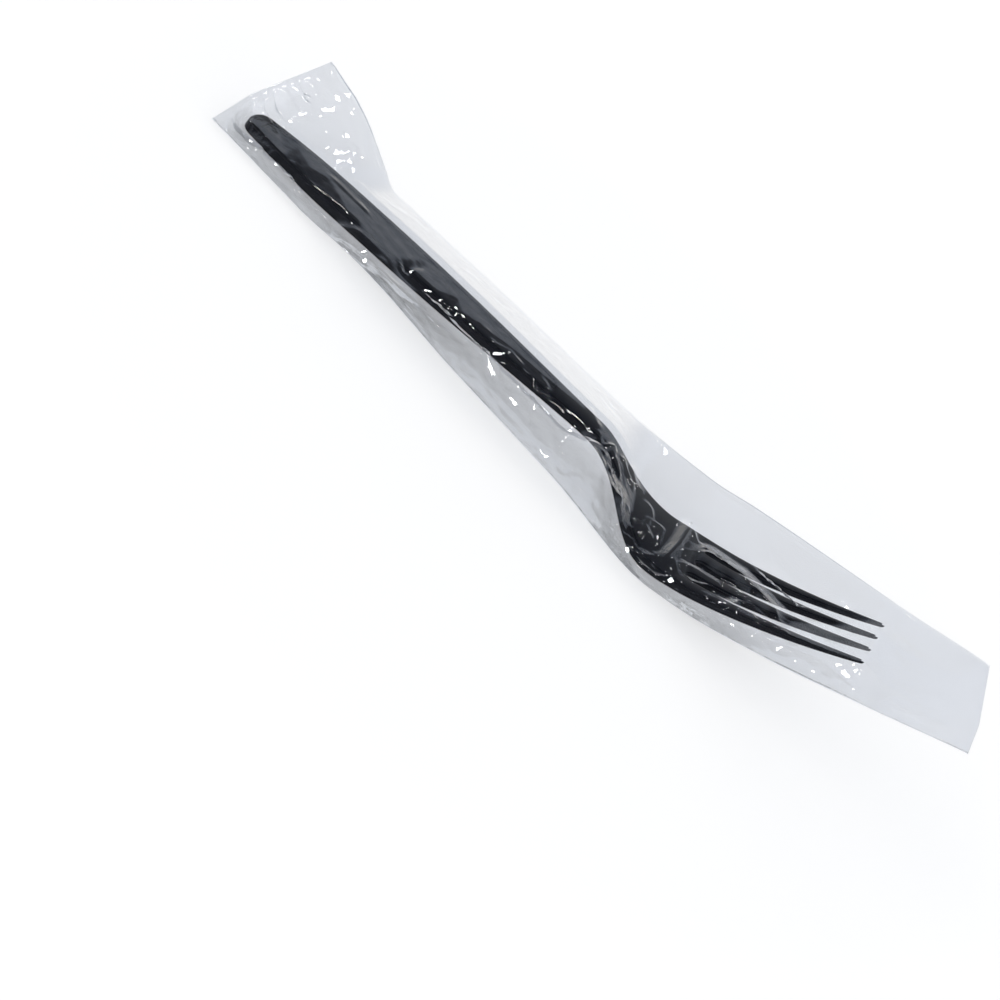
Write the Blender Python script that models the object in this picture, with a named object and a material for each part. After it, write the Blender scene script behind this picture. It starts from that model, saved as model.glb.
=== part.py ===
"""A disposable plastic fork sealed in its clear film sleeve, lying on its back.

Metres, +Z up. The handle points along -X, the tines along +X, and the origin is
on the resting plane, under the middle of the sleeve.
"""

import bmesh
import bpy
from math import cos, pi, sin, sqrt
from mathutils import Vector

# Fork, seen from above.
FORK_LENGTH = 0.172
HEAD_LENGTH = 0.072  # from the crest of the neck to the tine tips
END_ROUND = 0.004  # length of the rounded handle end
END_WIDTH = 0.0086
END_FULLNESS = 0.8  # 1 gives an elliptical end, less a squarer one
GRIP_FROM_END = 0.029  # where the handle is widest
GRIP_WIDTH = 0.0126
GRIP_SWELL = 2.6  # how soon the handle widens from its end
NECK_PAST_CREST = 0.0035  # where the neck is narrowest
NECK_WIDTH = 0.0068
NECK_TAPER = 1.5  # how late the handle narrows to the neck
TINE_COUNT = 4
TINE_LENGTH = 0.036
TINE_WIDTH = 0.0044
TINE_PITCH = 0.0068  # at the roots of the slots
TIP_PITCH = 0.0063
TINE_POINT = 1.3  # how late a tine narrows to its tip
TINE_FULLNESS = 0.8  # 1 gives straight flanks, less gives full ones
TIP_INSET = 1.4  # a tip is drawn back by this much more than the flanks
SHOULDER_BEFORE_SLOTS = 0.002  # where the head has its full width

# Fork, seen from the side: heights of the top face above the lowest point of the fork.
CREST_HEIGHT = 0.0102
TIP_HEIGHT = 0.0224
HANDLE_BOW = 0.0003
SHOULDER_RUN = 0.025  # from the crest down to the bottom of the bowl
TINE_SWEEP = 1.45  # how much of the tines' rise comes near the tips

# Fork, cut across: a top plate with a skirt turned down round its whole edge.
SKIRT_AT_END = 0.0024
SKIRT_AT_GRIP = 0.0030
SKIRT_AT_NECK = 0.0024
SKIRT_AT_BOWL = 0.0033
TINE_THICKNESS = 0.0023
TIP_THICKNESS = 0.0012
SKIRT_GRIP_RUN = 0.018  # the skirt keeps its depth along this much of the grip
SKIRT_PAST_CREST = 0.018  # where the skirt is deepest under the head
SKIRT_BEFORE_SLOTS = 0.0024  # where it reaches the thickness of the tines
PLATE = 0.0013
SKIRT_WALL = 0.00125
STEP_WIDTH = 0.0005  # ledge between the top face and the skirt
STEP_DROP = 0.00045
EDGE_ROUND = 0.0002
SKIRT_ROUND = 0.00035
HOLLOW_FROM_END = 0.0022
HOLLOW_BEFORE_SLOTS = 0.006
HOLLOW_FADE = 0.020  # length over which the hollow under the head runs out
HOLLOW_LAST_STEP = 0.0003

# Recessed grip panel on the handle's top face.
PANEL_FROM_END = 0.0028
PANEL_BEFORE_CREST = 0.012
PANEL_RIM = 0.0009
PANEL_SLOPE = 0.0002
PANEL_DEPTH = 0.00035
PANEL_CORNER = 0.0024
PANEL_END_WIDTH = 0.45  # of the panel's full width, past its rounded corners

# Film sleeve: one sheet folded flat at both sides and welded across both ends.
FILM_THICKNESS = 0.00006
SLEEVE_HALF_WIDTH = 0.020
FREE_AT_HANDLE = 0.0034
FREE_AT_TIPS = 0.0254
WELD_WIDTH = 0.0009
END_SKEW = 0.0055  # the lifted corner at the handle end is drawn back by this much
TIP_END_SKEW = -0.0042
SKEW_FROM = 0.35  # of the sleeve's width, from the near fold, which stays square
SKEW_RUN = 0.048
CLEARANCE = 0.00042  # from the fork to the film
SLACK = 0.0011
REST_SAG = 0.0009  # the film lies flat where the fork is nearer to the surface than this
TENT_HEIGHT = 0.0042  # the film bridges the bowl, above its top face
LAP_WIDTH = 0.006  # back seam, where the sheet's two edges overlap
VENT_COLUMN = 14  # the one column of the end weld that stays open
VENT_HEIGHT = 0.0002

# Rows and columns.
SIDE_STEP = 0.0045
SHOULDER_STEP = 0.0016
TINE_STEPS = 9
ROOT_STEPS = 6
END_STEPS = 5
FILM_STEP = 0.0034
FLANK_COLUMNS = 6
MIDDLE_COLUMNS = 8

# Limits for the mesh.
SLIP = 1e-6  # room for rounding when places are compared
DOWNWARD = -0.9  # a face whose normal has a smaller z than this faces down
MERGE_DISTANCE = 1e-7
SHARP_ANGLE = 0.6

# Places along the fork that follow from the sizes above.
CREST_X = FORK_LENGTH - HEAD_LENGTH
NECK_X = CREST_X + NECK_PAST_CREST
BOWL_X = CREST_X + SHOULDER_RUN
SLOT_X = FORK_LENGTH - TINE_LENGTH
SHOULDER_X = SLOT_X - SHOULDER_BEFORE_SLOTS
PANEL_END_X = CREST_X - PANEL_BEFORE_CREST
HOLLOW_END_X = SLOT_X - HOLLOW_BEFORE_SLOTS
HEAD_WIDTH = (TINE_COUNT - 1) * TINE_PITCH + TINE_WIDTH
FORK_BASE = FILM_THICKNESS + CLEARANCE  # the fork lies this far above the surface
SLEEVE_START_X = -FREE_AT_HANDLE
SLEEVE_END_X = FORK_LENGTH + FREE_AT_TIPS

# Side folds of the sleeve: (place along the fork, shift to the far side, height).
NEAR_FOLD = [
    (SLEEVE_START_X, 0.0080, 0.0011),
    (END_ROUND + 0.019, 0.0080, 0.0012),
    (GRIP_FROM_END + 0.008, 0.0042, 0.0044),
    (GRIP_FROM_END + 0.017, 0.0002, 0.0067),
    (CREST_X - 0.030, 0.0, 0.0056),
    (CREST_X, 0.0, 0.0051),
    (BOWL_X, 0.0, 0.0030),
    (SLOT_X, 0.0, 0.0048),
    (FORK_LENGTH - 0.015, 0.0, 0.0119),
    (FORK_LENGTH, 0.0, 0.0184),
    (SLEEVE_END_X, 0.0, 0.0302),
]
FAR_FOLD = [
    (SLEEVE_START_X, 0.0042, 0.0130),
    (END_ROUND + 0.001, 0.0040, 0.0136),
    (END_ROUND + 0.006, 0.0032, 0.0117),
    (GRIP_FROM_END - 0.005, 0.0009, 0.0060),
    (GRIP_FROM_END + 0.001, 0.0001, 0.0040),
    (GRIP_FROM_END + 0.009, 0.0, 0.0045),
    (CREST_X - 0.034, 0.0, 0.0063),
    (CREST_X, 0.0, 0.0083),
    (BOWL_X, 0.0, 0.0116),
    (SLOT_X, 0.0, 0.0146),
    (FORK_LENGTH, 0.0, 0.0231),
    (SLEEVE_END_X, 0.0, 0.0289),
]

# Folds of the upper layer: (start x, start y, end x, end y, half width, height).
FOLDS = [
    (CREST_X + 0.024, 0.003, SLOT_X + 0.022, -0.014, 0.0042, 0.0017),
    (SLOT_X - 0.006, 0.007, SLOT_X + 0.028, -0.007, 0.0040, 0.0012),
    (CREST_X + 0.014, 0.014, SLOT_X + 0.008, 0.009, 0.0040, 0.0011),
    (CREST_X - 0.004, -0.004, CREST_X + 0.018, -0.012, 0.0040, 0.0012),
    (CREST_X + 0.005, 0.010, CREST_X + 0.015, -0.015, 0.0042, 0.0012),
    (GRIP_FROM_END + 0.014, -0.014, GRIP_FROM_END + 0.038, 0.0, 0.0040, 0.0008),
    (GRIP_FROM_END + 0.030, -0.010, GRIP_FROM_END + 0.054, -0.009, 0.0038, 0.0010),
    (END_ROUND + 0.004, 0.006, GRIP_FROM_END - 0.004, 0.019, 0.0042, 0.0013),
    (END_ROUND - 0.003, 0.008, END_ROUND + 0.005, 0.021, 0.0040, 0.0010),
    (SLOT_X + 0.002, -0.018, FORK_LENGTH - 0.008, -0.015, 0.0038, 0.0011),
    (FORK_LENGTH - 0.010, 0.0, FORK_LENGTH + 0.009, 0.005, 0.0040, 0.0010),
    (FORK_LENGTH + 0.002, 0.012, FORK_LENGTH + 0.015, 0.010, 0.0040, 0.0008),
]
FOLD_SHARPNESS = 1.5  # 1 gives a straight-sided ridge, more a thinner one


def clamp(value, low=0.0, high=1.0):
    return max(low, min(high, value))


def mix(first, second, share):
    return first + (second - first) * share


def ease(share):
    share = clamp(share)
    return share * share * (3 - 2 * share)


def sharp_ease(share):
    share = clamp(share)
    return share**3 * (share * (6 * share - 15) + 10)


def through(points, x):
    """Height of the smooth curve through the points (x, z), which rise in x."""
    if x <= points[0][0]:
        return points[0][1]
    if x >= points[-1][0]:
        return points[-1][1]
    slopes = [0.0]
    for before, here, after in zip(points, points[1:], points[2:]):
        left = (here[1] - before[1]) / (here[0] - before[0])
        right = (after[1] - here[1]) / (after[0] - here[0])
        slopes.append(0.0 if left * right <= 0 else 2 * left * right / (left + right))
    slopes[0] = (points[1][1] - points[0][1]) / (points[1][0] - points[0][0])
    slopes.append((points[-1][1] - points[-2][1]) / (points[-1][0] - points[-2][0]))
    for index, (start, end) in enumerate(zip(points, points[1:])):
        if x <= end[0]:
            break
    run = end[0] - start[0]
    t = (x - start[0]) / run
    return (
        start[1] * (1 + 2 * t) * (1 - t) ** 2
        + slopes[index] * run * t * (1 - t) ** 2
        + end[1] * t * t * (3 - 2 * t)
        + slopes[index + 1] * run * t * t * (t - 1)
    )


# The fork's form along its length


def fork_half_width(x):
    """Half the width of the handle, neck and head, from END_ROUND to the slots."""
    if x < GRIP_FROM_END:
        share = clamp((x - END_ROUND) / (GRIP_FROM_END - END_ROUND))
        return mix(END_WIDTH, GRIP_WIDTH, 1 - (1 - share) ** GRIP_SWELL) / 2
    if x < NECK_X:
        share = ((x - GRIP_FROM_END) / (NECK_X - GRIP_FROM_END)) ** NECK_TAPER
        return mix(GRIP_WIDTH, NECK_WIDTH, ease(share)) / 2
    share = (x - NECK_X) / (SHOULDER_X - NECK_X)
    return mix(NECK_WIDTH, HEAD_WIDTH, sharp_ease(share)) / 2


def skirt_depth(x):
    """How far the lower edge of the fork is under its top face."""
    return through(
        [
            (0, SKIRT_AT_END),
            (GRIP_FROM_END, SKIRT_AT_GRIP),
            (GRIP_FROM_END + SKIRT_GRIP_RUN, SKIRT_AT_GRIP),
            (CREST_X, SKIRT_AT_NECK),
            (CREST_X + SKIRT_PAST_CREST, SKIRT_AT_BOWL),
            (SLOT_X - SKIRT_BEFORE_SLOTS, TINE_THICKNESS),
            (FORK_LENGTH, TIP_THICKNESS),
        ],
        x,
    )


def top_height(x):
    """Height of the top face: a straight handle, a dip into the bowl, and rising tines."""
    x = clamp(x, 0, FORK_LENGTH)
    if x < CREST_X:
        share = x / CREST_X
        rise = mix(SKIRT_AT_END, CREST_HEIGHT, share) + HANDLE_BOW * sin(pi * share)
        return FORK_BASE + rise
    bowl_height = skirt_depth(BOWL_X)
    if x < BOWL_X:
        return FORK_BASE + mix(CREST_HEIGHT, bowl_height, ease((x - CREST_X) / SHOULDER_RUN))
    share = (x - BOWL_X) / (FORK_LENGTH - BOWL_X)
    return FORK_BASE + mix(bowl_height, TIP_HEIGHT, share**TINE_SWEEP)


def bottom_height(x):
    return top_height(x) - skirt_depth(x)


def hollow_depth(x):
    """Depth of the ceiling of the hollow, which runs out under the head."""
    share = ease((x - HOLLOW_END_X + HOLLOW_FADE) / HOLLOW_FADE)
    return mix(PLATE, skirt_depth(x) - HOLLOW_LAST_STEP, share)


# The fork's outline


def side_stations():
    """Places along the handle, neck and head that each have a row of points."""
    stops = [
        (END_ROUND, SIDE_STEP),
        (PANEL_END_X - PANEL_RIM - PANEL_CORNER, SIDE_STEP),
        (PANEL_END_X - PANEL_RIM - PANEL_CORNER / 2, PANEL_CORNER),
        (PANEL_END_X, PANEL_CORNER),
        (CREST_X, SIDE_STEP),
        (BOWL_X, SHOULDER_STEP),
        (HOLLOW_END_X, 2 * SHOULDER_STEP),
        (SLOT_X - TINE_WIDTH, 2 * SHOULDER_STEP),
    ]
    places = [END_ROUND]
    for (start, _), (end, step) in zip(stops, stops[1:]):
        count = max(1, round((end - start) / step))
        places += [mix(start, end, i / count) for i in range(1, count + 1)]
    return places


def tine_flank(tine, side, inset):
    """One flank of a tine, from its root to just before its tip."""
    length = TINE_LENGTH - TIP_INSET * inset
    points = []
    for step in range(TINE_STEPS):
        share = sin(step / TINE_STEPS * pi / 2)
        taper = (1 - share**TINE_POINT) ** TINE_FULLNESS
        middle = tine_middle(tine, share * length / TINE_LENGTH)
        half = (TINE_WIDTH / 2 - inset) * taper
        points.append((SLOT_X + share * length, middle + side * half))
    return points


def tine_middle(tine, share):
    return (tine - (TINE_COUNT - 1) / 2) * mix(TINE_PITCH, TIP_PITCH, share)


def slot_root(slot, inset):
    """The round end of a slot, between two tines."""
    middle = (tine_middle(slot, 0) + tine_middle(slot + 1, 0)) / 2
    radius = (TINE_PITCH - TINE_WIDTH) / 2 + inset
    turns = [pi * step / ROOT_STEPS for step in range(1, ROOT_STEPS)]
    return [(SLOT_X - radius * sin(turn), middle - radius * cos(turn)) for turn in turns]


def fork_outline(inset):
    """The fork's edge drawn inwards by inset, and the pairs of points across from each other."""
    near = [(inset, 0.0)]
    for step in range(1, END_STEPS):
        turn = step / END_STEPS * pi / 2
        reach = END_ROUND - (END_ROUND - inset) * cos(turn) ** END_FULLNESS
        near.append((reach, -(END_WIDTH / 2 - inset) * sin(turn) ** END_FULLNESS))
    near += [(x, inset - fork_half_width(x)) for x in side_stations()]
    points = list(near)
    rungs = []
    for tine in range(TINE_COUNT):
        start = len(points)
        points += tine_flank(tine, -1, inset)
        tip = SLOT_X + TINE_LENGTH - TIP_INSET * inset
        points.append((tip, tine_middle(tine, (tip - SLOT_X) / TINE_LENGTH)))
        points += reversed(tine_flank(tine, 1, inset))
        last = len(points) - 1
        rungs += [(start + step, last - step) for step in range(TINE_STEPS)]
        if tine < TINE_COUNT - 1:
            points += slot_root(tine, inset)
    total = len(points) + len(near) - 1
    points += [(x, -y) for x, y in reversed(near[1:])]
    rungs += [(index, total - index) for index in range(1, len(near))]
    return points, rungs


# The fork's mesh


def edge_profile(x):
    """The fork's edge from the top face down to the underside: (inset, depth)."""
    depth = skirt_depth(x)
    return [
        (STEP_WIDTH + EDGE_ROUND, 0.0),
        (STEP_WIDTH, EDGE_ROUND),
        (STEP_WIDTH, STEP_DROP),
        (EDGE_ROUND / 2, STEP_DROP),
        (0.0, STEP_DROP + EDGE_ROUND / 2),
        (0.0, depth - SKIRT_ROUND),
        (SKIRT_ROUND, depth),
    ]


def add_loop(mesh, level):
    """The fork's outline at one level of its edge profile."""
    inset = edge_profile(0)[level][0]
    points, rungs = fork_outline(inset)
    verts = [mesh.verts.new((x, y, -edge_profile(x)[level][1])) for x, y in points]
    return verts, rungs


def fill_loop(mesh, verts, rungs, upward):
    """Closes a loop with one face, then splits it at each rung."""
    mesh.faces.new(verts if upward else verts[::-1])
    for first, second in rungs:
        start, end = verts[first], verts[second]
        shared = [face for face in start.link_faces if end in face.verts]
        cap = [face for face in shared if len(face.verts) > 3]
        if cap and not mesh.edges.get((start, end)):
            bmesh.utils.face_split(cap[0], start, end)


def faces_between(mesh, start, end, upward):
    """The faces of the flat top, or of the underside, that lie between two places along X."""
    chosen = []
    for face in mesh.faces:
        inside = all(start - SLIP < vert.co.x < end + SLIP for vert in face.verts)
        if upward:
            level = all(vert.co.z > -SLIP for vert in face.verts)
        else:
            level = face.normal.z < DOWNWARD
        if inside and level:
            chosen.append(face)
    return chosen


def inner_verts(faces):
    return {vert for face in faces for vert in face.verts}


def sink_panel(mesh):
    """Presses the grip panel into the handle's top face and rounds its far corners."""
    panel = faces_between(mesh, PANEL_FROM_END, PANEL_END_X, True)
    bmesh.ops.inset_region(mesh, faces=panel, thickness=PANEL_RIM, use_even_offset=True)
    edge_x = PANEL_END_X - PANEL_RIM
    for vert in inner_verts(panel):
        share = clamp((vert.co.x - edge_x + PANEL_CORNER) / PANEL_CORNER)
        vert.co.y *= sqrt(1 - (1 - PANEL_END_WIDTH**2) * share**2)
    bmesh.ops.inset_region(
        mesh, faces=panel, thickness=PANEL_SLOPE, depth=-PANEL_DEPTH, use_even_offset=True
    )


def hollow_underside(mesh):
    """Leaves a skirt of even thickness round the hollow under the handle and the head."""
    floor = faces_between(mesh, HOLLOW_FROM_END, HOLLOW_END_X, False)
    wall = SKIRT_WALL - SKIRT_ROUND
    bmesh.ops.inset_region(mesh, faces=floor, thickness=wall, use_even_offset=True)
    bmesh.ops.inset_region(mesh, faces=floor, thickness=EDGE_ROUND, use_even_offset=True)
    for vert in inner_verts(floor):
        vert.co.z = -hollow_depth(vert.co.x)


def bend_to_profile(mesh):
    """Lifts the flat moulding onto the curve of its side view."""
    for vert in mesh.verts:
        vert.co.z += top_height(vert.co.x)


def make_fork():
    mesh = bmesh.new()
    levels = [add_loop(mesh, level) for level in range(len(edge_profile(0)))]
    loops = [verts for verts, _ in levels]
    rungs = levels[0][1]
    for upper, lower in zip(loops, loops[1:]):
        for index in range(len(upper)):
            after = (index + 1) % len(upper)
            mesh.faces.new((upper[index], lower[index], lower[after], upper[after]))
    fill_loop(mesh, loops[0], rungs, True)
    fill_loop(mesh, loops[-1], rungs, False)
    mesh.normal_update()
    sink_panel(mesh)
    mesh.normal_update()
    hollow_underside(mesh)
    bend_to_profile(mesh)
    return finish_object("fork", mesh, fork_material())


# The sleeve's form


def side_fold(points, x, side):
    """Where one side fold of the sleeve runs: (y, height)."""
    shift = through([(place, shift) for place, shift, _ in points], x)
    height = through([(place, height) for place, _, height in points], x)
    return side * SLEEVE_HALF_WIDTH + shift, height


def support_half_width(x):
    """Half the width of what the film lies on: the fork, or what it runs out to past the tips."""
    if x < END_ROUND:
        return END_WIDTH / 2 + CLEARANCE
    if x < SLOT_X:
        return fork_half_width(x) + CLEARANCE
    tip_half = tine_middle(TINE_COUNT - 1, 1) + TINE_WIDTH / 4
    share = clamp((x - SLOT_X) / TINE_LENGTH)
    return mix(HEAD_WIDTH / 2, tip_half, share**TINE_POINT) + CLEARANCE


def tent(x):
    """How far the film stands above the top face where it bridges the bowl."""
    share = clamp((x - CREST_X) / HEAD_LENGTH)
    return TENT_HEIGHT * sin(pi * share) ** 2


def free_share(x):
    """0 beside the fork and 1 at the welds, where the two layers meet."""
    if x < 0:
        return clamp((-CLEARANCE - x) / (FREE_AT_HANDLE - CLEARANCE - WELD_WIDTH))
    return clamp((x - FORK_LENGTH - CLEARANCE) / (FREE_AT_TIPS - CLEARANCE - WELD_WIDTH))


def fold_rise(x, y):
    """What the folds add to the upper layer at one place."""
    rise = 0.0
    for start_x, start_y, end_x, end_y, half, height in FOLDS:
        run = Vector((end_x - start_x, end_y - start_y))
        offset = Vector((x - start_x, y - start_y))
        along = offset.dot(run) / run.length_squared
        across = abs(offset.x * run.y - offset.y * run.x) / run.length
        if 0 < along < 1 and across < half:
            rise += height * sin(pi * along) * (1 - across / half) ** FOLD_SHARPNESS
    return rise


def layer_heights(x, y, near, far):
    """Heights of the upper and lower layer at one place of a row."""
    share = clamp((y - near[0]) / (far[0] - near[0]))
    line = mix(near[1], far[1], share)
    slack = SLACK * 4 * share * (1 - share)
    half = support_half_width(x)
    if y < -half:
        reach = (y - near[0]) / (-half - near[0])
        edge = near[1]
    elif y > half:
        reach = (far[0] - y) / (far[0] - half)
        edge = far[1]
    else:
        reach, edge = 1.0, line
    roof = mix(edge, top_height(x) + CLEARANCE + tent(x), reach)
    lowest = FILM_THICKNESS / 2
    underside = bottom_height(clamp(x, 0, FORK_LENGTH)) - FORK_BASE
    floor = mix(edge, lowest + max(0.0, underside - REST_SAG), reach)
    loose = 1 - free_share(x)
    upper = max(roof, line + slack) + fold_rise(x, y)
    lower = max(lowest, min(floor, line - slack))
    return mix(line, upper, loose), mix(line, lower, loose)


# The sleeve's mesh


def sleeve_rows():
    """Places along the sleeve, closer together at the welds and round the handle end."""
    stops = [
        (SLEEVE_START_X, FILM_STEP),
        (SLEEVE_START_X + WELD_WIDTH, FILM_STEP),
        (-CLEARANCE, WELD_WIDTH),
        (END_ROUND, END_ROUND / 2),
        (CREST_X, FILM_STEP),
        (BOWL_X, FILM_STEP * 0.8),
        (FORK_LENGTH + CLEARANCE, FILM_STEP),
        (SLEEVE_END_X - WELD_WIDTH, FILM_STEP),
        (SLEEVE_END_X, FILM_STEP),
    ]
    places = [SLEEVE_START_X]
    for (start, _), (end, step) in zip(stops, stops[1:]):
        count = max(1, round((end - start) / step))
        places += [mix(start, end, i / count) for i in range(1, count + 1)]
    return places


def row_columns(x, near, far):
    """Places across one row: both flanks, and the middle over the fork."""
    half = support_half_width(x)
    stops = [near[0], -half, half, far[0]]
    counts = [FLANK_COLUMNS, MIDDLE_COLUMNS, FLANK_COLUMNS]
    places = [near[0]]
    for start, end, count in zip(stops, stops[1:], counts):
        places += [mix(start, end, i / count) for i in range(1, count + 1)]
    return places


def row_skew(x, share):
    """The ends of the sleeve aren't square to the fork: the row leans by this much along X."""
    lean = mix(END_SKEW, 0.0, ease((x - SLEEVE_START_X) / SKEW_RUN))
    lean += mix(0.0, TIP_END_SKEW, ease((x - FORK_LENGTH) / FREE_AT_TIPS))
    return lean * max(0.0, share - SKEW_FROM)


def middle_ring(x):
    """Middle line of the film round one row: across the top, then back underneath."""
    near, far = side_fold(NEAR_FOLD, x, -1), side_fold(FAR_FOLD, x, 1)
    upper, lower = [], []
    for column, y in enumerate(row_columns(x, near, far)):
        share = (y - near[0]) / (far[0] - near[0])
        top, bottom = layer_heights(x, y, near, far)
        place = x + row_skew(x, share)
        gap = FILM_THICKNESS / 2 * free_share(x)
        if column == VENT_COLUMN and x < SLEEVE_START_X + WELD_WIDTH + SLIP:
            gap += VENT_HEIGHT / 2
        upper.append(Vector((place, y, top + gap)))
        lower.append(Vector((place, y, bottom - gap)))
    lower[0] = upper[0] = (upper[0] + lower[0]) / 2
    lower[-1] = upper[-1] = (upper[-1] + lower[-1]) / 2
    return upper + lower[-2:0:-1]


def ring_normals(rings):
    """Outward direction at each point of the rings."""
    normals = []
    count = len(rings[0])
    for row, ring in enumerate(rings):
        before, after = rings[max(row - 1, 0)], rings[min(row + 1, len(rings) - 1)]
        line = []
        for column in range(count):
            along = after[column] - before[column]
            around = ring[(column + 1) % count] - ring[column - 1]
            line.append(along.cross(around).normalized())
        for fold in (0, count // 2):
            upper, lower = fold_sides(ring, fold)
            line[fold] = -(upper + lower).normalized()
        normals.append(line)
    return normals


def fold_sides(ring, fold):
    """Directions from a fold into the two layers that meet there."""
    upper = ring[(fold + 1) % len(ring)] - ring[fold]
    lower = ring[fold - 1] - ring[fold]
    return upper.normalized(), lower.normalized()


def skin_depth(ring, column):
    """How far the inner skin lies under the middle of the film: more in a fold and in the lap."""
    half = FILM_THICKNESS / 2
    count = len(ring)
    if column in (0, count // 2):
        upper, lower = fold_sides(ring, column)
        room = (ring[column - 1] - ring[column]).length / 2
        tightness = sin(upper.angle(lower) / 2)
        return min(half / tightness, room) if tightness else room
    in_lap = column > count // 2 and abs(ring[column].y) < LAP_WIDTH / 2
    return half + (FILM_THICKNESS if in_lap else 0.0)


def make_sleeve():
    rows = sleeve_rows()
    rings = [middle_ring(x) for x in rows]
    normals = ring_normals(rings)
    mesh = bmesh.new()
    outer = outer_skin(mesh, rings, normals)
    inner = inner_skin(mesh, rings, normals, rows)
    for row in range(len(rows) - 1):
        for column in range(len(rings[0])):
            join_skin(mesh, outer, row, column)
            join_skin(mesh, inner, row, column)
    close_end(mesh, outer[0], inner[0])
    close_end(mesh, outer[-1], inner[-1])
    return finish_object("film_sleeve", mesh, film_material())


def outer_skin(mesh, rings, normals):
    half = FILM_THICKNESS / 2
    return [
        [mesh.verts.new(point + normal * half) for point, normal in zip(ring, line)]
        for ring, line in zip(rings, normals)
    ]


def inner_skin(mesh, rings, normals, rows):
    """The skin round the hollow: it closes at both welds, apart from the vent's column."""
    count = len(rings[0])
    last = len(rows) - 1
    skin = []
    for row, (ring, line) in enumerate(zip(rings, normals)):
        points = [None] * count
        for column in range(count):
            opposite = -column % count
            in_vent = row <= 1 and VENT_COLUMN in (column, opposite)
            beside_vent = row == 0 and abs(min(column, opposite) - VENT_COLUMN) == 1
            if 1 < row < last - 1 or in_vent:
                depth = skin_depth(ring, column)
                points[column] = mesh.verts.new(ring[column] - line[column] * depth)
            elif row in (1, last - 1) or beside_vent:
                if opposite < column:
                    points[column] = points[opposite]
                else:
                    points[column] = mesh.verts.new((ring[column] + ring[opposite]) / 2)
        skin.append(points)
    return skin


def join_skin(mesh, skin, row, column):
    """Two triangles between two rows, split alike on both skins of both layers."""
    count = len(skin[row])
    fold = count // 2
    after = (column + 1) % count
    place = column if column < fold else count - column - 1
    rising = (row < len(skin) / 2) == (place < fold / 2)
    if rising == (column < fold):
        start, side, across, other = column, after, after, column
    else:
        start, side, across, other = after, column, column, after
    corners = skin[row][start], skin[row][side], skin[row + 1][across], skin[row + 1][other]
    if None not in corners:
        add_face(mesh, *corners[:3])
        add_face(mesh, corners[2], corners[3], corners[0])


def close_end(mesh, outer, inner):
    """Closes the cut edge of a weld, round the vent where there is one."""
    count = len(outer)
    for column in range(count // 2):
        after = column + 1
        low, low_after = -column % count, -after % count
        left, right = inner[column], inner[after]
        if left and right:
            add_face(mesh, outer[column], outer[after], right, left)
            add_face(mesh, inner[low], inner[low_after], outer[low_after], outer[low])
            continue
        ring = [outer[column], outer[after], right, outer[low_after], outer[low], left]
        add_face(mesh, *[vert for vert in ring if vert])


def add_face(mesh, *corners):
    """Adds a face, leaving out corners that meet."""
    kept = [vert for index, vert in enumerate(corners) if vert is not corners[index - 1]]
    if len(kept) > 2:
        mesh.faces.new(kept)


# Materials and objects


def plain_material(name, color, roughness, alpha=1.0):
    material = bpy.data.materials.new(name)
    material.use_nodes = True
    shader = material.node_tree.nodes["Principled BSDF"]
    shader.inputs["Base Color"].default_value = (*color, 1.0)
    shader.inputs["Roughness"].default_value = roughness
    shader.inputs["Metallic"].default_value = 0.0
    shader.inputs["Alpha"].default_value = alpha
    material.diffuse_color = (*color, alpha)
    return material


def fork_material():
    return plain_material("black_polystyrene", (0.018, 0.019, 0.023), 0.3)


def film_material():
    return plain_material("clear_film", (0.78, 0.81, 0.84), 0.12, 0.35)


def finish_object(name, mesh, material):
    bmesh.ops.remove_doubles(mesh, verts=mesh.verts, dist=MERGE_DISTANCE)
    bmesh.ops.recalc_face_normals(mesh, faces=mesh.faces)
    data = bpy.data.meshes.new(name)
    mesh.to_mesh(data)
    mesh.free()
    data.materials.append(material)
    data.shade_smooth()
    data.set_sharp_from_angle(angle=SHARP_ANGLE)
    result = bpy.data.objects.new(name, data)
    bpy.context.scene.collection.objects.link(result)
    return result


def clear_scene():
    for item in list(bpy.data.objects):
        bpy.data.objects.remove(item)


def centre_on_origin(objects):
    """Puts the middle of the whole part over the origin."""
    corners = [vert.co for item in objects for vert in item.data.vertices]
    middle = Vector(
        (
            (min(c.x for c in corners) + max(c.x for c in corners)) / 2,
            (min(c.y for c in corners) + max(c.y for c in corners)) / 2,
            0.0,
        )
    )
    for item in objects:
        for vert in item.data.vertices:
            vert.co -= middle


clear_scene()
centre_on_origin([make_fork(), make_sleeve()])
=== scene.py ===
import bmesh
import bpy
import numpy as np
from math import cos, pi, radians, sin, sqrt
from mathutils import Matrix, Vector


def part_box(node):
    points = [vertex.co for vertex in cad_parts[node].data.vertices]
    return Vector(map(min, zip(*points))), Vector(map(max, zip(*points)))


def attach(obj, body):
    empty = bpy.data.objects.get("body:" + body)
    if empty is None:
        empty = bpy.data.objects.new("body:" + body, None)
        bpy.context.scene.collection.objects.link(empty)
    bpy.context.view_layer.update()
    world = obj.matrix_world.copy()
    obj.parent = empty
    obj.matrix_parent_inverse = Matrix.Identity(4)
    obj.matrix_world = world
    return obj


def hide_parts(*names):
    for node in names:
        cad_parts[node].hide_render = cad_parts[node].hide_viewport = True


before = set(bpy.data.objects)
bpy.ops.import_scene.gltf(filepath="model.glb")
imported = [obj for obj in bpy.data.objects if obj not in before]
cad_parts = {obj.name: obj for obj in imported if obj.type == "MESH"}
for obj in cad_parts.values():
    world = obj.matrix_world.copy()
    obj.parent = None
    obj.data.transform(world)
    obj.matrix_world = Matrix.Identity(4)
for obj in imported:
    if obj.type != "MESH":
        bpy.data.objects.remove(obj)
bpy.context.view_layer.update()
mm = 0.001

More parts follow.
